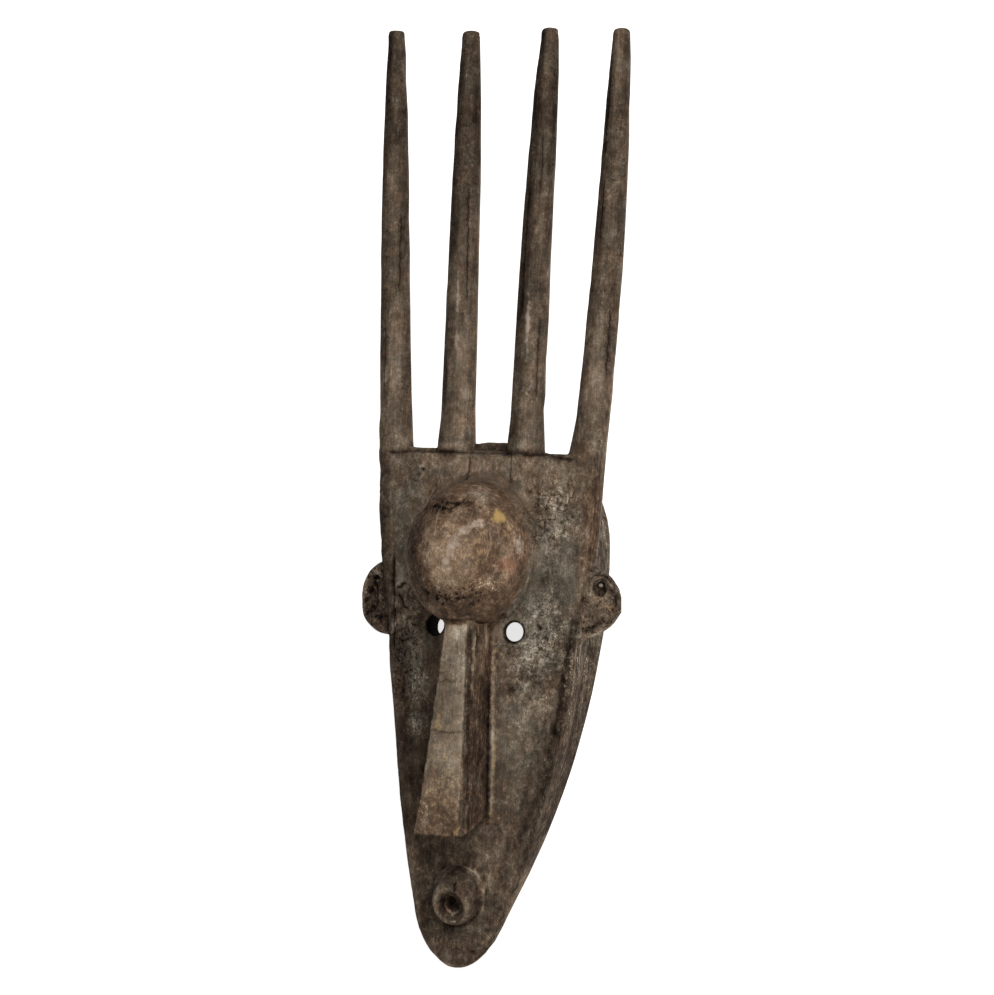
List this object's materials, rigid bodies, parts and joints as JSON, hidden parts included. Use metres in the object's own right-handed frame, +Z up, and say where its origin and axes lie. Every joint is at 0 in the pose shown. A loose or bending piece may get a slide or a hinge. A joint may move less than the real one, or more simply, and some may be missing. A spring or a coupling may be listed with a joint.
{
  "type": "ntomo mask",
  "caption": "Tall carved wooden face mask with a comb of long horns, a domed forehead, a ridge nose, pierced eyes, a tube mouth and lug ears, hollow behind for the wearer.",
  "frame": {"origin": "on the ground under the middle of the mask's box, as it lies on its back rim", "axes": "+Y from the chin towards the horn tips, +Z up out of the face, +X to the right of someone looking at the face"},
  "size_m": [0.2024, 0.6578, 0.1715],
  "materials": {
    "carved_wood": "weathered dark brown patina, dull with worn pale patches"
  },
  "bodies": {
    "root": {"carved_mask": "carved_wood"}
  },
  "joints": []
}
